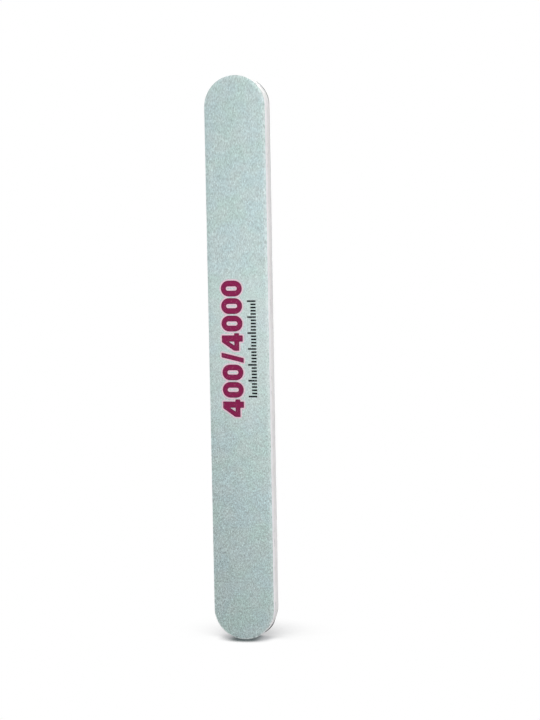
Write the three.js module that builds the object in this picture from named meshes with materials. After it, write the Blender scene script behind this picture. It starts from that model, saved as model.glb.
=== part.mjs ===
import * as THREE from 'three';

// A double-sided nail buffer, standing upright on one of its rounded ends.
// It is a laminate cut out in one stroke of a die: a stiff plastic core between two foam pads,
// with a sheet of abrasive paper glued over each pad.
// Millimetres. Z runs up the length, X across the width and Y through the thickness.
// The pale green front face looks along -Y, and the dark grey back face along +Y.
// The origin is at the foot of the lower end, in the middle of the width and the thickness.

// The outline, which every layer shares.
const LENGTH = 178;
const WIDTH = 19.5;

// The thickness of each kind of layer.
const FRONT_GRIT_THICKNESS = 0.1;
const FRONT_PAPER_THICKNESS = 0.3;
const BACK_GRIT_THICKNESS = 0.1;
const BACK_PAPER_THICKNESS = 0.15;
const PAPER_GLUE_THICKNESS = 0.1;
const FOAM_THICKNESS = 2.3;
const CORE_GLUE_THICKNESS = 0.2;
const CORE_THICKNESS = 1.15;

// How far the abrasive papers' rims are eased back from the cut edge, so that they don't scratch
// the skin beside the nail.
const RIM_SETBACK = 0.1;

// The glue is softer than what it joins, so it stays this far behind the cut edge.
const GLUE_SETBACK = 0.15;

// Straight steps in a quarter turn of the rounded ends.
const QUARTER_TURN_STEPS = 20;

// A straight strip with a half-round end at its foot and at its head, drawn in by the setback.
function roundEndedOutline(setback) {
  const endCentre = WIDTH / 2;
  const endRadius = endCentre - setback;
  const outline = new THREE.Shape();
  outline.absarc(0, endCentre, endRadius, Math.PI, 2 * Math.PI);
  outline.absarc(0, LENGTH - endCentre, endRadius, 0, Math.PI);
  outline.closePath();
  return outline;
}

// The outline is drawn in X and Y, extruded along Z and then turned upright:
// its height points along +Z, and its thickness runs from y = 0 towards -Y.
function layerSolid(thickness, setback) {
  const solid = new THREE.ExtrudeGeometry(roundEndedOutline(setback), {
    depth: thickness,
    curveSegments: QUARTER_TURN_STEPS,
    bevelEnabled: false,
  });
  solid.rotateX(Math.PI / 2);
  return solid;
}

function layer(name, thickness, setback, colour, roughness) {
  const finish = new THREE.MeshStandardMaterial({ color: colour, roughness, metalness: 0 });
  const mesh = new THREE.Mesh(layerSolid(thickness, setback), finish);
  mesh.name = name;
  return { mesh, thickness };
}

// The layers from the front face to the back face.
const stack = [
  layer('front_grit_coat', FRONT_GRIT_THICKNESS, RIM_SETBACK, '#b7c9c5', 0.8),
  layer('front_backing_paper', FRONT_PAPER_THICKNESS, RIM_SETBACK, '#f4f4f8', 0.7),
  layer('front_paper_glue', PAPER_GLUE_THICKNESS, GLUE_SETBACK, '#e6e2da', 0.4),
  layer('front_foam', FOAM_THICKNESS, 0, '#f5f4f4', 0.9),
  layer('front_core_glue', CORE_GLUE_THICKNESS, GLUE_SETBACK, '#dcd8d0', 0.4),
  layer('core_board', CORE_THICKNESS, 0, '#f7f5f1', 0.45),
  layer('back_core_glue', CORE_GLUE_THICKNESS, GLUE_SETBACK, '#cfcac4', 0.4),
  layer('back_foam', FOAM_THICKNESS, 0, '#f3f1ed', 0.9),
  layer('back_paper_glue', PAPER_GLUE_THICKNESS, GLUE_SETBACK, '#e6e2da', 0.4),
  layer('back_backing_paper', BACK_PAPER_THICKNESS, RIM_SETBACK, '#585b5d', 0.7),
  layer('back_grit_coat', BACK_GRIT_THICKNESS, RIM_SETBACK, '#5f6466', 0.75),
];

// Each layer lies face to face on the one before it, and the stack is centred on y = 0.
const nailBuffer = new THREE.Group();
const totalThickness = stack.reduce((sum, { thickness }) => sum + thickness, 0);
let y = -totalThickness / 2;
for (const { mesh, thickness } of stack) {
  y += thickness;
  mesh.position.y = y;
  nailBuffer.add(mesh);
}

export default nailBuffer;
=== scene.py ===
# %% [markdown]
# # A double-sided nail buffer
# The real buffer is a sandwich. A stiff plastic core lies between two pads of foam, and an abrasive paper
# is glued over each pad: a pale green one in front and a dark grey one behind. A die cuts the whole
# sandwich out in one stroke, so that every layer has the same outline.
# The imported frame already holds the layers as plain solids. This lesson keeps their places and sizes, and
# gives each one the cut, the grain and the finish that it has in the hand.

# %% Open the frame
import math

import bpy
from mathutils import Matrix, Vector, noise
from mathutils.geometry import delaunay_2d_cdt


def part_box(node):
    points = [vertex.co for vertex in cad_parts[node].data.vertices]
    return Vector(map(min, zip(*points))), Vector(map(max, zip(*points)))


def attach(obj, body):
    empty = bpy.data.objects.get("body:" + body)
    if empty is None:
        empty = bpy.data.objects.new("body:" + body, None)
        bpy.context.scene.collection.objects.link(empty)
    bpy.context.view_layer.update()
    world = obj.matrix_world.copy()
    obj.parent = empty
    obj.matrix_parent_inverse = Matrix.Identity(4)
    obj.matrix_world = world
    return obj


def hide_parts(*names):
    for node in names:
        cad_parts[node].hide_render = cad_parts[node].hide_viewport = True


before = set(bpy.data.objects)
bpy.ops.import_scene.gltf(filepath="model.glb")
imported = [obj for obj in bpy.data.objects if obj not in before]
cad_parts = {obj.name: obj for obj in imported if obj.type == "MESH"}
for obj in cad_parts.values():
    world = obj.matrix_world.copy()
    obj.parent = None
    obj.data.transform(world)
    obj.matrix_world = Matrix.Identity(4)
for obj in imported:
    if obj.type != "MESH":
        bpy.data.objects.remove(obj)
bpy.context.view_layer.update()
print("layers in the frame:", ", ".join(sorted(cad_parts)))

# %% [markdown]
# ## Sizes come from the frame
# A maker measures the stock before cutting it. We could type the sizes in again, but then a change in the
# frame would leave the looks behind, so each layer is measured where it lies. The meshes are worked out in
# millimetres, because a layer of 0.1 reads better than one of 0.0001, and become metres at the end.

# %% Measure the layers
MM = 0.001
HALF_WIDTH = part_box("core_board")[1].x / MM
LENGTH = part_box("core_board")[1].z / MM


def measure(node):
    """Where a layer starts and ends through the thickness."""
    low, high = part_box(node)
    return low.y / MM, high.y / MM


GREEN_FACE = measure("front_grit_coat")[0]
GREY_FACE = measure("back_grit_coat")[1]
print(f"die line {2 * HALF_WIDTH:.2f} x {LENGTH:.1f} mm")
print(f"through the thickness from {GREEN_FACE:.2f} to {GREY_FACE:.2f} mm")

# %% [markdown]
# ## The camera
# The buffer stands on its end and is seen from a little to its right and a little above, with a lens that
# is rather long. The camera comes first, because a maker who knows the view knows where detail counts.
# Turning it in three steps, round, down and a slight roll, keeps each angle readable.

# %% Set up the camera
LENS, NEAREST_SEEN = 90.0, 0.01
CAMERA_PLACE = Vector((145.3, -548.28, 134.23)) * MM
CAMERA_ROUND, CAMERA_DOWN, CAMERA_ROLL = (math.radians(a) for a in (13.942, 4.582, -1.047))

lens = bpy.data.cameras.new("camera")
lens.lens = LENS
lens.clip_start = NEAREST_SEEN
camera = bpy.data.objects.new("camera", lens)
camera.matrix_world = (
    Matrix.Translation(CAMERA_PLACE)
    @ Matrix.Rotation(CAMERA_ROUND, 4, "Z")
    @ Matrix.Rotation(math.pi / 2 - CAMERA_DOWN, 4, "X")
    @ Matrix.Rotation(CAMERA_ROLL, 4, "Z")
)
bpy.context.scene.collection.objects.link(camera)
bpy.context.scene.camera = camera
bpy.context.scene.view_settings.view_transform = "Standard"
print("camera", tuple(round(c, 3) for c in camera.location))

# %% [markdown]
# ## Sums on sockets
# A finish is a small calculation for each point of a surface: how light is this grain, how worn is this
# rim. It could be wired up by hand, node by node, but then the sum is hard to see. The class here wraps one
# socket, so that a line such as `1 - wear` adds the Math node by itself. Any other node comes from `node`,
# which takes its type, then its settings, then what goes into its sockets.

# %% A socket that can be added and multiplied
class Wire:
    """The output of a node, ready for sums."""

    def __init__(self, tree, socket):
        self.tree, self.socket = tree, socket

    @classmethod
    def node(cls, tree, kind, settings=None, sockets=None, out=0):
        """Adds a node: its settings first, then the values and links of its sockets."""
        made = tree.nodes.new("ShaderNode" + kind)
        for key, value in (settings or {}).items():
            setattr(made, key, value)
        for key, value in (sockets or {}).items():
            if isinstance(value, Wire):
                tree.links.new(value.socket, made.inputs[key])
            else:
                made.inputs[key].default_value = value
        return cls(tree, made.outputs[out])

    def sum(self, operation, a, b):
        return Wire.node(self.tree, "Math", {"operation": operation}, {0: a, 1: b})

    def __add__(self, other):
        return self.sum("ADD", self, other)

    def __sub__(self, other):
        return self.sum("SUBTRACT", self, other)

    def __rsub__(self, other):
        return self.sum("SUBTRACT", other, self)

    def __mul__(self, other):
        return self.sum("MULTIPLY", self, other)

    __radd__, __rmul__ = __add__, __mul__

    def into(self, shader, socket):
        self.tree.links.new(self.socket, shader.inputs[socket])


print("sums: +, - and * on sockets, from either side")

# %% [markdown]
# ## A few words for finishes
# Grit, paper, foam and ink are all mottled, but at different scales. These helpers say that in plain words:
# `mottle` is soft cloudy unevenness, `grains` gives each small cell a random value, and `between` is a soft
# step. All of them read the place on the object in millimetres, so a grain of 0.3 is 0.3 mm on the real
# thing, whatever the mesh is like. Nearly everything here is matt and full of pores, so a finish starts
# with little sheen, and only the plastic and the glue ask for more.

# %% Helpers for finishes
def paint(red, green, blue):
    """A colour as picked on a screen, 0 to 255, turned into the light values that nodes use."""
    def light(c):
        return c / 255 / 12.92 if c < 11 else ((c / 255 + 0.055) / 1.055) ** 2.4
    return light(red), light(green), light(blue), 1.0


def start_finish(name, sheen=0.2):
    """A new material, its shader, and the place on the object in millimetres."""
    material = bpy.data.materials.new(name)
    material.use_nodes = True
    tree = material.node_tree
    shader = tree.nodes["Principled BSDF"]
    shader.inputs["Specular IOR Level"].default_value = sheen
    place = Wire.node(tree, "TexCoord", out="Object")
    place = Wire.node(tree, "VectorMath", {"operation": "SCALE"}, {0: place, "Scale": 1 / MM})
    return material, shader, place


def mottle(place, size, detail=2.0):
    """Soft light and dark from 0 to 1, about 0.5 in the middle, in spots of this size."""
    return Wire.node(
        place.tree, "TexNoise", None, {"Vector": place, "Scale": 1 / size, "Detail": detail}
    )


def grains(place, size):
    """One random value from 0 to 1 for each grain of this size."""
    return Wire.node(
        place.tree, "TexVoronoi", None, {"Vector": place, "Scale": 1 / size}, out="Color"
    )


def between(value, low, high):
    """0 up to low, 1 from high on, and a soft step between them. It also runs downwards."""
    return Wire.node(
        value.tree,
        "MapRange",
        {"interpolation_type": "SMOOTHSTEP"},
        {"Value": value, "From Min": low, "From Max": high},
    )


def reaching(value, starts, full, fades, ends):
    """1 from full to fades, and softly down to 0 at starts and ends."""
    return between(value, starts, full) * between(value, ends, fades)


def blend(share, colour, other):
    """A colour with a share of another mixed in."""
    return Wire.node(
        share.tree, "Mix", {"data_type": "RGBA"}, {0: share, 6: colour, 7: other}, out=2
    )


def lit(colour, level):
    """A colour made lighter or darker all over by a level, where 1 leaves it as it is."""
    return Wire.node(
        level.tree, "VectorMath", {"operation": "SCALE"}, {0: colour, "Scale": level}
    )


def stretched(place, x, y, z):
    """The place with its axes stretched, for marks that are longer one way than the other."""
    return Wire.node(
        place.tree, "VectorMath", {"operation": "DIVIDE"}, {0: place, 1: (x, y, z)}
    )


def above(value, level):
    """How far a value lies above a level, and 0 where it lies below."""
    return value.sum("MAXIMUM", value - level, 0.0)


def along(place, axis):
    """How far along one axis this point lies, in millimetres."""
    return Wire.node(place.tree, "SeparateXYZ", None, {0: place}, out=axis)


def from_rim(place):
    """How far in from the die line this point lies, in millimetres, as the mesh remembers it."""
    return Wire.node(place.tree, "Attribute", {"attribute_name": "depth"}, out="Fac")


def raised(height, reach, strength=1.0):
    """Small relief: the height of 0 to 1 stands for this many millimetres."""
    return Wire.node(
        height.tree, "Bump", None, {"Height": height, "Distance": reach * MM, "Strength": strength}
    )


print("pale green as light values:", tuple(round(c, 3) for c in paint(183, 201, 197)))

# %% [markdown]
# ## The die line
# The die is a steel strip bent into the outline: two straight sides and two half-round ends. In Blender it
# is a walk along the outline. Each station on it knows the nearest point of the middle line, here called
# the spine, and the way straight out from there. A point at any depth inside the rim is then one step back
# from the die line, so every layer and every ring of its mesh can use the same stations.

# %% Walk along the die line
def die_line(step):
    """The heights along the spine, and stations as (spine point's number, way out in x and z)."""
    side = LENGTH - 2 * HALF_WIDTH
    rows, turns = round(side / step), round(math.pi * HALF_WIDTH / step)
    spine = [HALF_WIDTH + side * i / rows for i in range(rows + 1)]
    arc = [(math.cos(math.pi * i / turns), math.sin(math.pi * i / turns)) for i in range(turns)]
    right = [(i, 1.0, 0.0) for i in range(rows)]
    head = [(rows, x, z) for x, z in arc]
    left = [(rows - i, -1.0, 0.0) for i in range(rows)]
    foot = [(0, -x, -z) for x, z in arc]
    return spine, right + head + left + foot


print("stations at 1 mm:", len(die_line(1.0)[1]))

# %% [markdown]
# ## Rims that are pressed in
# When the die comes down on the front, it presses the paper into the soft foam before it cuts. The rim of
# the front face therefore bends down over about a millimetre. The back lies on a hard plate meanwhile and
# keeps a crisper rim. It could be a bevel on the finished solid, but then paper, glue and foam would not
# bend together. A curve for each side, which all its layers follow, keeps them nested.

# %% The pressed-in curves
FRONT_PRESSED, FRONT_REACH = 0.36, 1.3
BACK_PRESSED, BACK_REACH = 0.06, 0.8


def front_curve(depth):
    """How far the front layers are bent back at this depth inside the die line."""
    return FRONT_PRESSED * max(0.0, 1 - depth / FRONT_REACH) ** 2


def back_curve(depth):
    """How far the back layers are bent forward there, so below zero."""
    return -BACK_PRESSED * max(0.0, 1 - depth / BACK_REACH) ** 2


def straight(depth):
    """The core does not bend."""
    return 0.0


print("front bent at 0, 0.5 and 1 mm:", [round(front_curve(d), 3) for d in (0, 0.5, 1)])

# %% [markdown]
# ## The cut of one layer
# Seen where it is cut across, a layer is a thin bar: a front face, a rim and a back face. Carrying that
# section round the die line makes the whole layer, much as a baker's piping follows the edge of a tin.
# An extruded outline would be quicker, but its walls would have no points in them to roughen, and the
# corners at the rim would stay sharp as no cut paper or foam is. Round the right of the foot the knife
# leaned a little, first inwards and then outwards, so the cut wall runs nearly straight to the back there.

# %% Draw a section and carry it round
RIM_RINGS = (0.2, 0.45, 0.75, 1.3, 3.0)
CORNER_TURNS = [math.radians(a) for a in (10, 40, 70)]
SHARP_CORNER = math.radians(40)
LEAN_IN, LEAN_OUT, LEAN_REACH = 0.24, 0.18, 1.0
LEANS_IN, LEANS_OUT, UPRIGHT_TIP = (0.05, 0.25, 0.42, 0.62), (0.62, 0.85), 0.35


def ramp(value, low, high):
    """0 at low, 1 at high and straight between them, on either side of which it stays."""
    return max(0.0, min(1.0, (value - low) / (high - low)))


def cut_section(
    node, rim, curves, easing, rows, front_rings=RIM_RINGS, back_rings=RIM_RINGS, waist=0.0
):
    """(depth, y) from the middle of the front face, round the rim, to the back face's middle."""
    front, back = measure(node)
    front_bend, back_bend = curves
    front_rim, back_rim = front + front_bend(rim), back + back_bend(rim)
    section = [(rim + d, front + front_bend(rim + d)) for d in reversed(front_rings)]
    corner = [(rim + easing * (1 - math.sin(a)), easing * (1 - math.cos(a))) for a in CORNER_TURNS]
    section += [(depth, front_rim + y) for depth, y in corner]
    for row in range(rows + 1):
        share = row / rows
        y = front_rim + easing + (back_rim - front_rim - 2 * easing) * share
        section.append((rim + waist * math.sin(math.pi * share), y))
    section += [(depth, back_rim - y) for depth, y in reversed(corner)]
    section += [(rim + d, back + back_bend(rim + d)) for d in back_rings]
    return section


def make_piece(name, points, faces, depths):
    """A mesh piece that remembers each point's depth inside the rim, and rides on the body."""
    mesh = bpy.data.meshes.new(name)
    mesh.from_pydata([point * MM for point in points], [], faces)
    mesh.attributes.new("depth", "FLOAT", "POINT").data.foreach_set("value", depths)
    mesh.shade_smooth()
    mesh.set_sharp_from_angle(angle=SHARP_CORNER)
    piece = bpy.data.objects.new(name, mesh)
    bpy.context.scene.collection.objects.link(piece)
    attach(piece, "root")
    print(f"{name}: {len(points)} points, {len(faces)} faces")
    return piece


def leaning_cut(point, out, depth):
    """How far the leaning knife moved a point near the rim: most at the back, none in front."""
    if out.x <= 0 or out.z >= 0 or depth >= LEAN_REACH:
        return Vector()
    starts, full, fades, gone = LEANS_IN
    inwards = LEAN_IN * ramp(-out.z, starts, full) * ramp(-out.z, gone, fades)
    outwards = LEAN_OUT * ramp(-out.z, *LEANS_OUT) * ramp(out.x, 0.0, UPRIGHT_TIP)
    through = ramp(point.y, GREEN_FACE, GREY_FACE)
    return out * (outwards - inwards) * through * (1 - depth / LEAN_REACH)


def carry_round(name, section, step, rough):
    """The section carried round the die line, closed along the spine, its points roughened."""
    spine, stations = die_line(step)
    points, depths = [], []
    for depth, y in section:
        reach = HALF_WIDTH - depth
        for i, x, z in stations:
            out = Vector((x, 0, z))
            point = rough(Vector((x * reach, y, spine[i] + z * reach)), out, depth)
            points.append(point + leaning_cut(point, out, depth))
            depths.append(depth)
    for y in (section[0][1], section[-1][1]):
        points += [rough(Vector((0, y, z)), Vector(), HALF_WIDTH) for z in spine]
        depths += [HALF_WIDTH] * len(spine)
    count, rings = len(stations), len(section)
    front = [rings * count + i for i, _, _ in stations]
    back = [rings * count + len(spine) + i for i, _, _ in stations]
    loops = [front] + [range(r * count, (r + 1) * count) for r in range(rings)] + [back]
    faces = []
    for inner, outer in zip(loops, loops[1:]):
        for j in range(count):
            k = (j + 1) % count
            faces.append(tuple(dict.fromkeys((inner[j], outer[j], outer[k], inner[k]))))
    return make_piece(name, points, faces, depths)


print("rings on a face behind the rim:", len(RIM_RINGS))

# %% [markdown]
# ## Grit
# The abrasive is mineral grain in resin. Single grains are far too small to model one by one over a whole
# face, but they settle in clumps of about half a millimetre, and these clumps catch the light. The faces
# therefore get a mesh with a point every 0.3 mm, and each point stands out by a little noise. The grains
# inside a clump are left to the finish. The grey side is a polishing face, so its clumps are smaller and
# lower. Its sheet is stiff, so round the right of both ends its rim stands slightly proud of the foam, most
# at the foot. At the tips, on the left shoulders and down the right-hand side the rim is rubbed back, by a
# tenth of a millimetre or so.

# %% How far the grit stands out
GREEN_CLUMP, GREEN_CLUMP_HEIGHT = 0.62, 0.016
GREY_CLUMP, GREY_CLUMP_HEIGHT = 0.45, 0.006
GRIT_STEP, GRIT_RING_COUNT = 0.3, 31
GRIT_RINGS = (GRIT_STEP / 2,) + tuple(GRIT_STEP * (i + 1) for i in range(GRIT_RING_COUNT))
COAT_RIM, COAT_EASING, COAT_SKIN, COAT_ROWS = 0.03, 0.04, 0.03, 2
# The rim's shifts in millimetres, and where they start and end, by how far the way out points up or down.
SIDE_EASED, KEPT_SIDE, SIDE_ENDS = 0.12, 0.75, 0.2
TIP_EASED, SHOULDER_FULL, SHIFT_REACH = 0.1, 0.55, 1.0
HEAD_PROUD = (0.1, 0.45, 0.76, 0.95, 0.085)
FOOT_PROUD = (0.4, 0.62, 0.85, 0.97, 0.26)


def green_grain(x, z):
    return GREEN_CLUMP_HEIGHT * noise.noise(Vector((x, z, 3.1)) / GREEN_CLUMP)


def grey_grain(x, z):
    return GREY_CLUMP_HEIGHT * noise.noise(Vector((x, z, 7.7)) / GREY_CLUMP)


def rough_green(point, out, depth):
    """Moves the points of the outer skin of the green coat by its grain."""
    if point.y < GREEN_FACE + front_curve(depth) + COAT_SKIN:
        point.y -= green_grain(point.x, point.z)
    return point


def grey_rim_shift(point, out, depth):
    """How far the grey sheet stands out past the die line here. Below zero, it is rubbed back."""
    way = abs(out.z)
    if out.x > 0:
        starts, full, fades, gone, proud = HEAD_PROUD if out.z > 0 else FOOT_PROUD
        at_tip = ramp(way, fades, gone)
        on_side = ramp(way, SIDE_ENDS, 0.0) * (1 - KEPT_SIDE * point.z / LENGTH)
        shift = proud * ramp(way, starts, full) * (1 - at_tip)
        shift -= TIP_EASED * at_tip + SIDE_EASED * on_side
    else:
        shift = -TIP_EASED * ramp(way, 0.0, SHOULDER_FULL)
    return out * shift * max(0.0, 1 - depth / SHIFT_REACH)


def rough_grey(point, out, depth):
    """Moves the points of the outer skin of the grey coat by its grain."""
    if point.y > GREY_FACE + back_curve(depth) - COAT_SKIN:
        point.y += grey_grain(point.x, point.z)
    return point + grey_rim_shift(point, out, depth)


front_curves, back_curves = (front_curve, front_curve), (back_curve, back_curve)
green_section = cut_section(
    "front_grit_coat", COAT_RIM, front_curves, COAT_EASING, COAT_ROWS, front_rings=GRIT_RINGS
)
grey_section = cut_section(
    "back_grit_coat", COAT_RIM, back_curves, COAT_EASING, COAT_ROWS, back_rings=GRIT_RINGS
)
green_face = carry_round("green_grit_face", green_section, GRIT_STEP, rough_green)
grey_face = carry_round("grey_grit_face", grey_section, GRIT_STEP, rough_grey)
for piece, node, finish_slot in (
    (green_face, "front_grit_coat", "green_grit"),
    (grey_face, "back_grit_coat", "grey_grit"),
):
    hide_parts(node)

# %% [markdown]
# ## The green finish
# The coat is a pale sea green that drifts a little towards blue-grey from place to place, as resin does
# when it is rolled on unevenly. On top of that, each clump and each grain is a bit lighter or darker, and a
# few grains are nearly white, partly their own pale colour and partly a painted glint. The coat was rolled
# on along the length, which draws its grain out, most in the upper half. The face is a little paler between
# about 24 and 155 mm up, most from 62 to 120, and paler still in a band round the print, more on the right.
# Across the face it is painted lighter on the right and darker on the left, painted light from the right
# that is strongest in the lower half, and the band's larger share on the right is the same painted light.
# The grain's light and dark are stronger in the lower half than in the upper half. At the rim the coat is
# rubbed thin and the white paper begins to show: a little all round, a little more round the head, and more
# along the right-hand side, which does the work, and at the foot, on which the buffer stands. There the
# paler rim is partly that wear and partly painted light: a painted highlight along the right-hand side,
# and at the foot a painted lightening against the shade on the rim that turns down to the floor.

# %% Finish the green face
SEA_GREEN, SEA_BLUE, SEA_GREY = paint(181, 202, 198), paint(182, 201, 204), paint(189, 201, 200)
PALE_AND_GLINT_GRAIN, WHITE_PAPER = paint(228, 236, 232), paint(240, 243, 243)
GRAIN_CLUMP, FINE_GRAIN, GRAIN = 0.5, 0.2, 0.25
BLUE_DRIFT, GREY_DRIFT, CLOUD = 8.0, 5.0, 3.0
NARROWED, DRAWN_OUT, DRAWN_FURTHER = 1.4, 0.8, 0.25
# Heights in millimetres. The last two rows say where a change starts, is full, fades and ends.
FURTHER_ABOVE, LOWER_HALF_FROM, LOWER_HALF_FULL = 112.0, 110.0, 50.0
PALED_MIDDLE = (24.0, 62.0, 120.0, 155.0)
PALER_BAND = (62.0, 78.0, 109.0, 121.0)


def green_grit_finish():
    material, shader, place = start_finish("green_grit")
    sideways, height = along(place, "X"), along(place, "Z")
    drawn = DRAWN_OUT * height - DRAWN_FURTHER * above(height, FURTHER_ABOVE)
    grain_place = {"X": NARROWED * sideways, "Y": along(place, "Y"), "Z": drawn}
    rolled = Wire.node(place.tree, "CombineXYZ", None, grain_place)
    clumps, fine = mottle(rolled, GRAIN_CLUMP), mottle(rolled, FINE_GRAIN, 1.0)
    cells = grains(rolled, GRAIN)
    bluer, greyer = (
        between(mottle(place, drift, 1.0), 0.36, 0.64) for drift in (BLUE_DRIFT, GREY_DRIFT)
    )
    colour = blend(0.8 * bluer, SEA_GREEN, SEA_BLUE)
    colour = blend(0.5 * greyer, colour, SEA_GREY)
    clouds, across = mottle(place, CLOUD, 1.0), between(sideways, -8.0, 8.0)
    lower = between(height, LOWER_HALF_FROM, LOWER_HALF_FULL)
    # The grain's light and dark are made stronger towards the bottom of the face.
    grain_strength = 0.92 + 0.35 * lower
    uneven = grain_strength * (0.92 * (clumps - 0.5) + 0.5 * (cells - 0.5))
    uneven = uneven + 0.08 * (clouds - 0.5) + 0.05 * (reaching(height, *PALED_MIDDLE) - 0.2)
    # Lighter on the right and darker on the left: painted light from the right, strongest in the lower
    # half.
    uneven = uneven + (0.06 + 0.06 * lower) * (across - 0.5)
    colour = lit(colour, 1 + uneven)
    # A few grains are lightened: partly their own pale colour, partly a painted glint.
    colour = blend(0.3 * between(cells, 0.88, 0.92), colour, PALE_AND_GLINT_GRAIN)
    # A paler band round the print; its larger share on the right is painted light from the right.
    paler_band = (0.09 + 0.04 * across) * reaching(height, *PALER_BAND)
    colour = blend(paler_band, colour, WHITE_PAPER)
    right, foot = between(sideways, 3.0, 8.5), between(height, 9.0, 1.0)
    head = between(height, LENGTH - 9.0, LENGTH - 2.0)
    # Along the right-hand side the pale rim is partly wear and partly a painted highlight.
    used = (1 - (1 - 0.22 * right) * (1 - 0.06 * head)) * between(from_rim(place), 1.3, 0.2)
    # At the foot the pale rim is partly wear and partly painted light against the shade on the rim that
    # turns down to the floor.
    bare_and_lit_rim = (0.06 + 0.64 * foot) * between(from_rim(place), 0.6, 0.12)
    worn = (used + bare_and_lit_rim) * between(clumps, 0.3, 0.55)
    colour = blend(worn, colour, WHITE_PAPER)
    colour.into(shader, "Base Color")
    (0.92 - 0.3 * between(cells, 0.8, 0.9)).into(shader, "Roughness")
    raised(0.6 * fine + 0.4 * cells, 0.05, 0.7).into(shader, "Normal")
    return material


green_face.data.materials.append(green_grit_finish())
print("green face finished with", len(green_face.data.materials[0].node_tree.nodes), "nodes")

# %% [markdown]
# ## The grey finish
# The polishing face is a dark slate grey. Its grain is so fine that it reads as a soft, even bloom with
# slow clouds in it, and the rims are rubbed towards a warmer brown-grey. Round the left of the head the rim
# of coat and paper is scuffed pale.

# %% Finish the grey face
SLATE, SLATE_LIGHT = paint(91, 95, 99), paint(99, 103, 107)
RUBBED_GREY, SCUFFED = paint(108, 103, 99), paint(222, 218, 215)
BLOOM = 0.55


def round_head(place):
    """1 on the cut edge round the head, 0 along the sides and at the foot."""
    return between(along(place, "Z"), LENGTH - 13.0, LENGTH - 5.0)


def on_left(place):
    """1 on the left-hand edge, 0 on the right."""
    return between(along(place, "X"), -2.0, -8.0)


def grey_grit_finish():
    material, shader, place = start_finish("grey_grit")
    clumps, cells = mottle(place, BLOOM), grains(place, GRAIN)
    clouds = between(mottle(place, CLOUD, 3.0), 0.35, 0.65)
    colour = blend(clouds, SLATE, SLATE_LIGHT)
    colour = lit(colour, 1 + 0.6 * (clumps - 0.5) + 0.26 * (cells - 0.5))
    worn = between(from_rim(place), 0.8, 0.15) * between(clumps, 0.3, 0.6)
    colour = blend(0.6 * worn, colour, RUBBED_GREY)
    scuffed = round_head(place) * on_left(place) * between(from_rim(place), 0.25, 0.1)
    colour = blend(0.7 * scuffed, colour, SCUFFED)
    colour.into(shader, "Base Color")
    (0.62 + 0.25 * clumps).into(shader, "Roughness")
    raised(0.5 * clumps + 0.5 * cells, 0.02, 0.6).into(shader, "Normal")
    return material


grey_face.data.materials.append(grey_grit_finish())
print("grey face finished with", len(grey_face.data.materials[0].node_tree.nodes), "nodes")

# %% [markdown]
# ## Backing papers
# Grit is sold on paper. The green side has a thick white paper, the grey side a thin paper dyed through.
# Only the rims show, as a bright line and a dark line along the cut edge. A die leaves a paper rim slightly
# furred, so its points wander by a few hundredths of a millimetre.

# %% Cut the backing papers
PAPER_STEP = 0.3
PAPER_RIM, FURRED_RIM = 0.0, 0.3
WHITE_EASING, WHITE_ROWS = 0.05, 4
GREY_EASING, GREY_ROWS = 0.03, 3
FUR, FUR_LENGTH = 0.015, 0.4


def furred(point, out, depth):
    """A paper rim with the fibres that the die left standing."""
    if depth < FURRED_RIM:
        point -= out * FUR * (1 + noise.noise(point / FUR_LENGTH))
    return point


def furred_grey(point, out, depth):
    return furred(point, out, depth) + grey_rim_shift(point, out, depth)


white_section = cut_section(
    "front_backing_paper", PAPER_RIM, front_curves, WHITE_EASING, WHITE_ROWS
)
grey_section = cut_section("back_backing_paper", PAPER_RIM, back_curves, GREY_EASING, GREY_ROWS)
white_paper = carry_round("white_paper_sheet", white_section, PAPER_STEP, furred)
grey_paper = carry_round("grey_paper_sheet", grey_section, PAPER_STEP, furred_grey)
for piece, node, finish_slot in (
    (white_paper, "front_backing_paper", "white_paper"),
    (grey_paper, "back_backing_paper", "grey_paper"),
):
    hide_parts(node)

# %% [markdown]
# ## Paper finish
# Cut paper is matt and fibrous. The fibres lie flat in the sheet, so on the rim they show as fine streaks
# along the edge. Along the sides the hand has scuffed the rim, most of all at the left of the head, which
# shows on the dark paper alone. One finish does for both papers, with their tones as the only difference.

# %% Finish the papers
FIBRE, PAPER_DUST = 0.5, 3.0
SCUFFED_SIDES = (5.0, 10.0, LENGTH - 11.0, LENGTH - 6.0)


def paper_finish(name, tone, fibre_tone, scuffed_tone):
    material, shader, place = start_finish(name)
    fibres = mottle(stretched(place, 1, 0.1, 1), FIBRE, 3.0)
    dust = mottle(place, PAPER_DUST, 2.0)
    colour = blend(between(fibres, 0.35, 0.65), tone, fibre_tone)
    sides = reaching(along(place, "Z"), *SCUFFED_SIDES)
    scuffed = 0.4 * sides + 0.7 * round_head(place) * on_left(place)
    colour = blend(scuffed, colour, scuffed_tone)
    lit(colour, 1 + 0.12 * (dust - 0.5)).into(shader, "Base Color")
    (0.75 + 0.2 * fibres).into(shader, "Roughness")
    raised(fibres, 0.03, 0.6).into(shader, "Normal")
    return material


PAPER_WHITE, WHITE_FIBRE = paint(250, 252, 254), paint(253, 253, 254)
PAPER_GREY, GREY_FIBRE = paint(82, 84, 86), paint(96, 97, 98)
for sheet, name, tones in (
    (white_paper, "white_paper", (PAPER_WHITE, WHITE_FIBRE, PAPER_WHITE)),
    (grey_paper, "grey_paper", (PAPER_GREY, GREY_FIBRE, SCUFFED)),
):
    sheet.data.materials.append(paper_finish(name, *tones))
print("papers finished")

# %% [markdown]
# ## Foam pads
# The pads are closed-cell foam. The die squeezes them while it cuts, so a cut wall springs back slightly
# hollow, and the knife opens the cells along it. The hollow is in the section, as a waist. The opened cells
# are pits: each point of the wall moves in by how near it is to the middle of a random cell.

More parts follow.
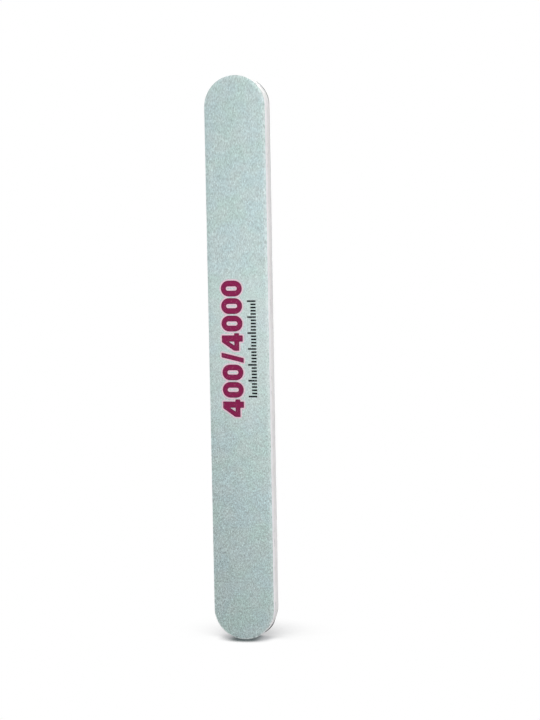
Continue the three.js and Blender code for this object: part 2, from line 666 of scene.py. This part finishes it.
# %% Cut the foam pads
FOAM_STEP = 0.25
FOAM_RIM, FOAM_EASING, FOAM_WAIST = 0.0, 0.1, 0.03
FOAM_WALL, FOAM_ROWS = 0.12, 14
CELL, CELL_MOUTH, CELL_DEPTH = 0.55, 0.6, 0.04
FOAM_WAVE, WAVE_LENGTH = 0.015, 4.0


def open_cells(point, out, depth):
    """A cut foam wall: pits where the knife opened cells, on a slow wave."""
    if depth < FOAM_WALL:
        nearest = noise.voronoi(point / CELL)[0][0]
        pit = max(0.0, 1 - nearest / CELL_MOUTH)
        wave = 1 + noise.noise(point / WAVE_LENGTH)
        point -= out * (CELL_DEPTH * pit + FOAM_WAVE * wave)
    return point


def foam_pad(name, node, curves):
    section = cut_section(node, FOAM_RIM, curves, FOAM_EASING, FOAM_ROWS, waist=FOAM_WAIST)
    return carry_round(name, section, FOAM_STEP, open_cells)


front_pad = foam_pad("front_foam_pad", "front_foam", (front_curve, straight))
back_pad = foam_pad("back_foam_pad", "back_foam", (straight, back_curve))
for piece, node in ((front_pad, "front_foam"), (back_pad, "back_foam")):
    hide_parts(node)

# %% [markdown]
# ## Foam finish
# Foam is white, but not evenly: the opened cells are shaded, the knife leaves faint upright streaks, and
# dust settles in patches. The front pad is a cool white, and the back pad is painted greyer as shade. The
# left-hand edge has stood in the light, so the back pad and the core are a little creamy there. Round the
# head all that is white is painted lighter: a painted highlight where light from above falls on the cut
# edge.

# %% Finish the foam
# The first white is a painted highlight for the cut edge round the head.
HEAD_LIGHT_WHITE, CREAM = paint(250, 250, 249), paint(240, 236, 230)
FRONT_WHITE, FRONT_DUSTY = paint(249, 248, 250), paint(234, 233, 235)
# The back pad's tones are painted greyer than the front's: painted shade.
BACK_SHADED_WHITE, BACK_SHADED_DUSTY = paint(235, 233, 234), paint(219, 216, 218)
FOAM_GRAIN, FOAM_DUST = 0.3, 2.5


def foam_finish(name, tone, dusty_tone, creamy):
    material, shader, place = start_finish(name)
    cells = Wire.node(place.tree, "TexVoronoi", None, {"Vector": place, "Scale": 1 / FOAM_GRAIN})
    streaks = mottle(stretched(place, 0.3, 4, 0.3), 1.0, 2.0)
    dust = between(mottle(place, FOAM_DUST, 3.0), 0.5, 0.75)
    colour = blend(0.4 * dust, tone, dusty_tone)
    colour = blend(creamy * on_left(place), colour, CREAM)
    # Round the head the foam is painted lighter: a painted highlight from light above.
    colour = blend(0.9 * round_head(place), colour, HEAD_LIGHT_WHITE)
    colour = lit(colour, 1.03 - 0.1 * between(cells, 0.35, 0.1) + 0.08 * (streaks - 0.5))
    colour.into(shader, "Base Color")
    (0.85 + 0.1 * dust).into(shader, "Roughness")
    raised(0.7 * between(cells, 0.1, 0.5) + 0.3 * streaks, 0.04, 0.6).into(shader, "Normal")
    return material


front_pad.data.materials.append(foam_finish("front_foam", FRONT_WHITE, FRONT_DUSTY, creamy=0.0))
# The back pad is painted greyer than the front pad, as shade.
back_pad.data.materials.append(foam_finish("back_foam", BACK_SHADED_WHITE, BACK_SHADED_DUSTY, creamy=0.8))
print("foam pads finished")

# %% [markdown]
# ## The core
# The core is a thin board of white plastic. It does not give under the die, so it stands a touch proud of
# the foam, with clean rims and fine upright knife marks. The marks depend only on the place along the
# outline, so that each runs straight through the thickness.

# %% Cut the core
CORE_STEP, CORE_WALL = 0.25, 0.2
CORE_RIM, CORE_EASING, CORE_ROWS = 0.0, 0.06, 6
KNIFE_MARK, KNIFE_DEPTH = 0.5, 0.012


def knife_marks(point, out, depth):
    """Fine scores that run straight across the cut of the board."""
    if depth < CORE_WALL:
        place = Vector((point.x, 0, point.z))
        point -= out * KNIFE_DEPTH * (1 + noise.noise(place / KNIFE_MARK))
    return point


core_section = cut_section("core_board", CORE_RIM, (straight, straight), CORE_EASING, CORE_ROWS)
core = carry_round("plastic_core", core_section, CORE_STEP, knife_marks)
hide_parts("core_board")

# %% [markdown]
# ## Core finish
# Cut plastic is smoother than foam and has a slight sheen, with the knife marks showing as streaks that
# are a little lighter, where the plastic was stressed.

# %% Finish the core
PLASTIC, STRESSED = paint(234, 232, 232), paint(241, 239, 239)
CORE_DUST = 2.0


def core_finish():
    material, shader, place = start_finish("core_plastic", sheen=0.5)
    marks = mottle(stretched(place, 0.25, 8, 0.25), 1.0, 3.0)
    dust = mottle(place, CORE_DUST, 2.0)
    colour = blend(between(marks, 0.35, 0.65), PLASTIC, STRESSED)
    colour = blend(0.6 * on_left(place), colour, CREAM)
    # Round the head the core is painted lighter: a painted highlight from light above.
    colour = blend(0.9 * round_head(place), colour, HEAD_LIGHT_WHITE)
    lit(colour, 1 + 0.12 * (dust - 0.5)).into(shader, "Base Color")
    (0.36 + 0.3 * marks).into(shader, "Roughness")
    raised(marks, 0.02, 0.5).into(shader, "Normal")
    return material


core.data.materials.append(core_finish())
print("core finished")

# %% [markdown]
# ## Glue films
# The layers are held by films of sticky adhesive. Here the press squeezed the glue forward to the cut, and
# there it drew back and left a groove, so on the cut edge a film shows as a thin line that comes and goes.
# A strip of one depth would draw a ruled line. The rim of each film therefore wanders, and the two films
# beside the core, which are thicker, wander most.

# %% Lay the glue films
GLUE_STEP = 0.25
GLUE_RIM, GLUE_EDGE, GLUE_EASING, GLUE_ROWS = 0.04, 0.1, 0.03, 3
GLUE_RINGS = (0.6, 1.3, 3.0)
WANDER_LENGTH = 1.8
GLUE_LAYERS = {
    "front_paper_glue": (front_curve, "paper_glue", 0.06),
    "front_core_glue": (straight, "core_glue", 0.16),
    "back_core_glue": (straight, "core_glue", 0.32),
    "back_paper_glue": (back_curve, "paper_glue", 0.06),
}


def drawn_back(most):
    """A glue rim that reaches the cut in places and lies back by up to the most in others."""
    def squeezed(point, out, depth):
        if depth < GLUE_RIM + GLUE_EDGE:
            slow = noise.noise(point / WANDER_LENGTH)
            fast = noise.noise(point / (WANDER_LENGTH / 4))
            point -= out * most * max(0.0, min(1.0, 0.5 + 1.2 * slow + 0.6 * fast))
        return point
    return squeezed


glue_films = {}
for node, (curve, finish_slot, most) in GLUE_LAYERS.items():
    section = cut_section(
        node, GLUE_RIM, (curve, curve), GLUE_EASING, GLUE_ROWS, GLUE_RINGS, GLUE_RINGS
    )
    film = carry_round(node + "_film", section, GLUE_STEP, drawn_back(most))
    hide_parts(node)
    glue_films[node] = film

# %% [markdown]
# ## Glue finish
# The adhesive is a cloudy grey. Where it reaches the cut, dust and crumbs of foam stick to it. Round the
# head the film is painted back towards its clean tone, a painted highlight like that of the white layers
# there. The film behind the core caught the most crumbs. Nail dust gathers on the right-hand edge, which
# does the work, and there it is the film in front of the core that has darkened.

# %% Finish the glue
CRUMB, NAIL_DUST = paint(116, 108, 102), paint(132, 129, 130)
GLUE_DUST, CRUMB_SIZE, DUST_PATCH = 0.8, 0.4, 12.0
DUSTY_BELOW, CLEAN_ABOVE = LENGTH - 9.5, LENGTH - 6.5


def glue_finish(name, tone, dusty_tone, crumbs, nail_dust=0.0):
    material, shader, place = start_finish(name, sheen=0.5)
    dust = between(mottle(place, GLUE_DUST, 3.0), 0.35, 0.65)
    stuck = crumbs * between(grains(place, CRUMB_SIZE), 0.74, 0.8)
    colour = blend(stuck, blend(dust, tone, dusty_tone), CRUMB)
    # Round the head the glue is painted back towards its clean tone: a painted highlight.
    colour = blend(0.6 * round_head(place), colour, tone)
    patches = between(mottle(place, DUST_PATCH, 1.0), 0.35, 0.5)
    right = between(along(place, "X"), 3.0, 8.0) * patches
    right = right * between(along(place, "Z"), CLEAN_ABOVE, DUSTY_BELOW)
    blend(nail_dust * right, colour, NAIL_DUST).into(shader, "Base Color")
    (0.3 + 0.4 * dust).into(shader, "Roughness")
    raised(dust, 0.03, 0.5).into(shader, "Normal")
    return material


paper_glue = glue_finish("paper_glue", paint(228, 225, 220), paint(212, 208, 203), crumbs=0.1)
front_core_glue = glue_finish(
    "front_core_glue", paint(232, 229, 225), paint(220, 216, 212), crumbs=0.2, nail_dust=0.95
)
back_core_glue = glue_finish(
    "back_core_glue", paint(208, 204, 199), paint(168, 161, 155), crumbs=0.9
)
for node, finish in (
    ("front_paper_glue", paper_glue),
    ("front_core_glue", front_core_glue),
    ("back_core_glue", back_core_glue),
    ("back_paper_glue", paper_glue),
):
    glue_films[node].data.materials.append(finish)
print("glue films finished:", len(glue_films))

# %% [markdown]
# ## Shapes for the print
# The green face is printed with the grades of its two grits and with a small row of ticks for measuring a
# nail. A text object could set the figures, but its font is light and its mesh has no points inside. Three
# shapes are enough here, so they are drawn as outlines in millimetres: a nought is an oval in an oval, a
# four is a few straight cuts, and the stroke between them is a slanted bar. Corners are eased, as ink
# never fills a sharp one.

# %% Draw the figures
FIGURE_HEIGHT, FIGURE_GAP = 6.85, 0.5
FIGURE_CORNER, INNER_CORNER = 0.25, 0.15
OVAL_TURNS = 12
NOUGHT_WIDTH, NOUGHT_SIDE, NOUGHT_CROWN = 5.0, 1.85, 1.65
FOUR_WIDTH = 5.6
STROKE_WIDTH, STROKE_PAST = 3.3, 0.2


def oval(left, low, right, high):
    """A bar with half-round ends, walked anticlockwise."""
    middle, radius = (left + right) / 2, (right - left) / 2
    arc = [math.pi * i / OVAL_TURNS for i in range(OVAL_TURNS + 1)]
    head = [(middle + radius * math.cos(a), high - radius + radius * math.sin(a)) for a in arc]
    foot = [(middle - radius * math.cos(a), low + radius - radius * math.sin(a)) for a in arc]
    return head + foot


def eased(loop, radius):
    """The loop with each of its corners cut round."""
    rounded = []
    for i, corner in enumerate(loop):
        corner = Vector(corner)
        before, after = Vector(loop[i - 1]) - corner, Vector(loop[(i + 1) % len(loop)]) - corner
        start = corner + before.normalized() * min(radius, before.length / 2)
        end = corner + after.normalized() * min(radius, after.length / 2)
        rounded += [tuple(start), tuple((start + 2 * corner + end) / 4), tuple(end)]
    return rounded


def nought():
    inner = oval(
        NOUGHT_SIDE, NOUGHT_CROWN, NOUGHT_WIDTH - NOUGHT_SIDE, FIGURE_HEIGHT - NOUGHT_CROWN
    )
    return NOUGHT_WIDTH, [oval(0, 0, NOUGHT_WIDTH, FIGURE_HEIGHT), inner[::-1]]


def four():
    outer = [(2.9, 0), (4.9, 0), (4.9, 1.2), (FOUR_WIDTH, 1.2), (FOUR_WIDTH, 2.8), (4.9, 2.8)]
    outer += [(4.9, FIGURE_HEIGHT), (2.75, FIGURE_HEIGHT), (0, 2.9), (0, 1.2), (2.9, 1.2)]
    inner = [(2.9, 2.8), (1.75, 2.8), (2.9, 4.5)]
    return FOUR_WIDTH, [eased(outer, FIGURE_CORNER), eased(inner, INNER_CORNER)]


def stroke():
    low, high = -STROKE_PAST, FIGURE_HEIGHT + STROKE_PAST
    outer = [(0, low), (1.55, low), (STROKE_WIDTH, high), (1.75, high)]
    return STROKE_WIDTH, [eased(outer, FIGURE_CORNER)]


def set_figures(figures):
    """The outlines of a row of figures, and how long the row is."""
    loops, along = [], 0.0
    for draw in figures:
        width, outlines = draw()
        loops += [[(along + u, v) for u, v in loop] for loop in outlines]
        along += width + FIGURE_GAP
    return loops, along - FIGURE_GAP


def swollen(loop, amount):
    """The loop pushed outwards on its left-hand walk, for a film wider than the print on it."""
    pushed = []
    for i, (u, v) in enumerate(loop):
        (u0, v0), (u1, v1) = loop[i - 1], loop[(i + 1) % len(loop)]
        way = Vector((u1 - u0, v1 - v0)).normalized()
        pushed.append((u + amount * way.y, v - amount * way.x))
    return pushed


grades = [four, nought, nought, stroke, four, nought, nought, nought]
figure_loops, figures_length = set_figures(grades)
print(f"row of figures {figures_length:.1f} x {FIGURE_HEIGHT} mm, {len(figure_loops)} outlines")

# %% [markdown]
# ## Films of ink
# Ink lies on the grit as a film of about a hundredth of a millimetre and follows every clump. A flat decal
# would float over the hollows and cut through the grains. The film here is filled with points, and each
# point takes the height of the grit under it. Under the dark ink lies a pale one that is a little wider,
# as printers use it to keep a coloured ground from showing through.

# %% Lay the ink
FILM_STEP, WELD = 0.3, 1e-5
PRINT_MIDDLE, FIGURE_BASE = 92.7, 1.4
UNDERPRINT_WIDER, UNDERPRINT_LIFT, FIGURES_LIFT, SOAKED_IN = 0.42, 0.012, 0.019, 0.02


def inside(loops, u, v):
    """Whether a point lies in the print, counted by the outlines on one side of it."""
    crossings = 0
    for loop in loops:
        for (u0, v0), (u1, v1) in zip(loop, loop[1:] + loop[:1]):
            if (v0 > v) != (v1 > v) and u < u0 + (v - v0) / (v1 - v0) * (u1 - u0):
                crossings += 1
    return crossings % 2 == 1


def to_edge(loops, u, v):
    """The distance from a point to the nearest outline."""
    best = math.inf
    for loop in loops:
        for (u0, v0), (u1, v1) in zip(loop, loop[1:] + loop[:1]):
            du, dv = u1 - u0, v1 - v0
            share = max(0.0, min(1.0, ((u - u0) * du + (v - v0) * dv) / (du * du + dv * dv or 1)))
            best = min(best, math.hypot(u0 + share * du - u, v0 + share * dv - v))
    return best


def fill(loops):
    """Points and triangles that fill the outlines, with a point about every film step."""
    points, edges = [], []
    for loop in loops:
        first = len(points)
        for (u0, v0), (u1, v1) in zip(loop, loop[1:] + loop[:1]):
            parts = max(1, math.ceil(math.hypot(u1 - u0, v1 - v0) / FILM_STEP))
            points += [
                (u0 + (u1 - u0) * i / parts, v0 + (v1 - v0) * i / parts) for i in range(parts)
            ]
        edges += [(i, i + 1) for i in range(first, len(points) - 1)] + [(len(points) - 1, first)]
    us, vs = zip(*points)
    for i in range(round((max(us) - min(us)) / FILM_STEP)):
        for j in range(round((max(vs) - min(vs)) / FILM_STEP)):
            u, v = min(us) + i * FILM_STEP, min(vs) + (j + i % 2 / 2) * FILM_STEP
            if inside(loops, u, v) and to_edge(loops, u, v) > FILM_STEP / 2:
                points.append((u, v))
    filled, _, triangles, *_ = delaunay_2d_cdt([Vector(p) for p in points], edges, [], 0, WELD)
    def middle(t):
        return sum((filled[i] for i in t), Vector((0, 0))) / 3
    return filled, [t for t in triangles if inside(loops, *middle(t))]


def ink_film(name, loops, start, base, lift):
    """A closed film over the grit. The print runs up the face, and its upper side points left."""
    flat, triangles = fill(loops)
    used = sorted({i for t in triangles for i in t})
    number = {i: n for n, i in enumerate(used)}
    points, depths = [], []
    for i in used:
        u, v = flat[i]
        x, z = base - v, start + u
        y = GREEN_FACE + front_curve(HALF_WIDTH - abs(x)) - green_grain(x, z) - lift
        points.append(Vector((x, y, z)))
        depths.append(to_edge(loops, u, v))
    count = len(points)
    points += [point + Vector((0, lift + SOAKED_IN, 0)) for point in points]
    depths += depths
    faces, rims = [], {}
    for t in triangles:
        a, b, c = (number[i] for i in t)
        faces += [(a, b, c), (c + count, b + count, a + count)]
        for edge in ((a, b), (b, c), (c, a)):
            rims[edge] = rims.pop(edge[::-1], None) is None and edge
    faces += [(b, a, a + count, b + count) for a, b in filter(None, rims.values())]
    return make_piece(name, points, faces, depths)


figures_start = PRINT_MIDDLE - figures_length / 2
wider_loops = [swollen(loop, UNDERPRINT_WIDER) for loop in figure_loops]
underprint = ink_film(
    "grade_figures_underprint", wider_loops, figures_start, FIGURE_BASE, UNDERPRINT_LIFT
)
figures = ink_film("grade_figures", figure_loops, figures_start, FIGURE_BASE, FIGURES_LIFT)

# %% [markdown]
# ## The tick row
# A plain row of ticks, one for each millimetre and a longer one for every fifth, stands beside the figures.
# It needs no figures of its own: it is there to hold a nail against. Each tick is a narrow bar, and all of
# them together are one film of ink.

# %% Lay the ticks
TICKS, LONG_EVERY, TICK_WIDTH, TICK_BASE = 30, 5, 0.55, 5.75
SHORT_TICK, LONG_TICK, TICK_CORNER, TICK_LIFT = 1.7, 2.8, 0.08, 0.012

tick_loops = []
for i in range(TICKS + 1):
    tall = SHORT_TICK if i % LONG_EVERY else LONG_TICK
    left, right = i - TICK_WIDTH / 2, i + TICK_WIDTH / 2
    tick_loops.append(eased([(left, 0), (right, 0), (right, tall), (left, tall)], TICK_CORNER))
ticks = ink_film("millimetre_ticks", tick_loops, PRINT_MIDDLE - TICKS / 2, TICK_BASE, TICK_LIFT)

# %% [markdown]
# ## Ink finish
# Screen-printed ink is even in the middle and a touch darker along its edge, where it gathers. Grains that
# stand proud rub bare first, so a few specks of the ground show through.

# %% Finish the ink
def ink_finish(name, tone, edge_tone, bare_tone, bare):
    material, shader, place = start_finish(name)
    clumps, cells = mottle(place, GRAIN_CLUMP), grains(place, GRAIN)
    colour = blend(between(from_rim(place), 0.45, 0.1), tone, edge_tone)
    colour = lit(colour, 1 + 0.5 * (clumps - 0.5))
    colour = blend(bare * between(cells, 0.78, 0.84), colour, bare_tone)
    colour.into(shader, "Base Color")
    (0.6 + 0.25 * clumps).into(shader, "Roughness")
    raised(0.5 * clumps + 0.5 * cells, 0.03, 0.5).into(shader, "Normal")
    return material


MAGENTA, MAGENTA_EDGE = paint(132, 24, 74), paint(106, 34, 68)
PALE_PINK, PINK_EDGE = paint(238, 200, 216), paint(226, 196, 210)
BLACK, BLACK_EDGE = paint(14, 18, 20), paint(22, 28, 30)
for film, name, tones, bare in (
    (figures, "magenta_ink", (MAGENTA, MAGENTA_EDGE, PALE_PINK), 0.06),
    (underprint, "pale_pink_ink", (PALE_PINK, PINK_EDGE, SEA_GREEN), 0.3),
    (ticks, "black_ink", (BLACK, BLACK_EDGE, SEA_GREEN), 0.15),
):
    film.data.materials.append(ink_finish(name, *tones, bare))
print("ink finished")

# %% [markdown]
# ## Floor and surroundings
# The buffer stands on a white sweep, and in light this soft its shadow is only a dimming round the foot. A
# lit white floor would show each lamp as a grey pool, so rays that look at the floor see plain white,
# dimmed by how much of the sky the buffer hides from that spot: widely and faintly in front of the foot,
# and closely in the nook right under it, which is dark in the middle and lets light in from the sides.
# Rays that carry light still meet a real white floor.
# The surroundings look white too, but the light that they give is set on its own, at a plain level.

# %% Build the white sweep
FLOOR_HALF, FLOOR_WHITE = 3.0, 0.8
SHADE_REACH, SHADE_TURN, SHADE_OPEN = 27.0, (0.0, -0.75, 0.66), (0.45, 0.95)
NOOK_REACH, NOOK_TURN, NOOK_OPEN = 5.0, (0.0, 0.88, 0.47), (0.47, 0.9)
SHADE_TONE = paint(195, 195, 196)
NOOK_MIDDLE, NOOK_SIDES = paint(86, 96, 97), paint(174, 176, 178)
# Where the nook goes from its sides' tone to its middle's, in square millimetres from the middle line.
NOOK_FADE = (36.0, 2.0)
SKY_SAMPLES = 16
SURROUND_LIGHT = 0.39


def looked_at(tree):
    """1 for rays that look at a thing or mirror it, and 0 for rays that carry its light."""
    kinds = ("Camera", "Glossy", "Transmission")
    camera, glossy, through = (Wire.node(tree, "LightPath", out=f"Is {kind} Ray") for kind in kinds)
    return between(camera + glossy + through, 0, 1)


def openness(tree, reach, turn):
    """How much of the sky round this turn a floor point sees past things within this reach."""
    way = Wire.node(tree, "CombineXYZ", None, dict(zip("XYZ", turn)))
    sockets = {"Distance": reach * MM, "Normal": way}
    return Wire.node(tree, "AmbientOcclusion", {"samples": SKY_SAMPLES}, sockets, out="AO")


def floor_finish():
    material, shader, place = start_finish("white_sweep")
    tree = place.tree
    tree.nodes.remove(shader)
    plain = Wire.node(tree, "BsdfDiffuse", None, {"Color": (FLOOR_WHITE,) * 3 + (1,)})
    across = along(place, "X")
    nook_tone = blend(between(across * across, *NOOK_FADE), NOOK_SIDES, NOOK_MIDDLE)
    white, shade, nook = (
        Wire.node(tree, "Emission", None, {"Color": tone})
        for tone in (paint(255, 255, 255), SHADE_TONE, nook_tone)
    )
    wide = between(openness(tree, SHADE_REACH, SHADE_TURN), *SHADE_OPEN)
    close = between(openness(tree, NOOK_REACH, NOOK_TURN), *NOOK_OPEN)
    shown = Wire.node(tree, "MixShader", None, {0: wide, 1: shade, 2: white})
    shown = Wire.node(tree, "MixShader", None, {0: close, 1: nook, 2: shown})
    Wire.node(tree, "MixShader", None, {0: looked_at(tree), 1: plain, 2: shown}).into(
        tree.nodes["Material Output"], "Surface"
    )
    return material


floor_mesh = bpy.data.meshes.new("floor")
corners = [(x * FLOOR_HALF, y * FLOOR_HALF, 0) for x, y in ((-1, -1), (1, -1), (1, 1), (-1, 1))]
floor_mesh.from_pydata(corners, [], [(0, 1, 2, 3)])
floor_mesh.materials.append(floor_finish())
floor = bpy.data.objects.new("floor", floor_mesh)
bpy.context.scene.collection.objects.link(floor)

world = bpy.data.worlds.new("surroundings")
bpy.context.scene.world = world
world.use_nodes = True
background = world.node_tree.nodes["Background"]
background.inputs["Color"].default_value = (1, 1, 1, 1)
(SURROUND_LIGHT + (1 - SURROUND_LIGHT) * looked_at(world.node_tree)).into(background, "Strength")
print("floor", 2 * FLOOR_HALF, "m across, light from the surroundings", SURROUND_LIGHT)

# %% [markdown]
# ## Soft boxes
# The key box hangs in front of the buffer, above it and to the right. A grid on it narrows its beam to the
# upper half, so the head is lighter than the foot, and its slant brings out the grain. The back box does
# the same for the grey face. A weak box low on the right and a larger one on the left fill the cut edges,
# so that no side of the buffer is left in the dark.

# %% Hang the soft boxes
def soft_box(name, place, aim, size, spread, power):
    """A round soft box: places and size in metres, spread in degrees, power in watts."""
    place, aim = Vector(place), Vector(aim)
    lamp = bpy.data.lights.new(name, "AREA")
    lamp.shape, lamp.size, lamp.energy = "DISK", size, power
    lamp.spread = math.radians(spread)
    box = bpy.data.objects.new(name, lamp)
    turn = (aim - place).to_track_quat("-Z", "Y").to_matrix().to_4x4()
    box.matrix_world = Matrix.Translation(place) @ turn
    box.visible_camera = False
    bpy.context.scene.collection.objects.link(box)


GRIDDED, BARE = 48, 180
soft_box("key_box", (0.12, -0.32, 0.34), (0.004, 0, 0.127), size=0.2, spread=GRIDDED, power=0.12)
soft_box("right_box", (0.4, 0.06, 0.04), (0, 0, 0.06), size=0.2, spread=BARE, power=0.28)
soft_box("left_box", (-0.4, 0.13, 0.15), (0, 0, 0.09), size=0.3, spread=BARE, power=0.66)
soft_box("back_box", (-0.1, 0.32, 0.34), (0, 0, 0.115), size=0.2, spread=GRIDDED, power=0.08)
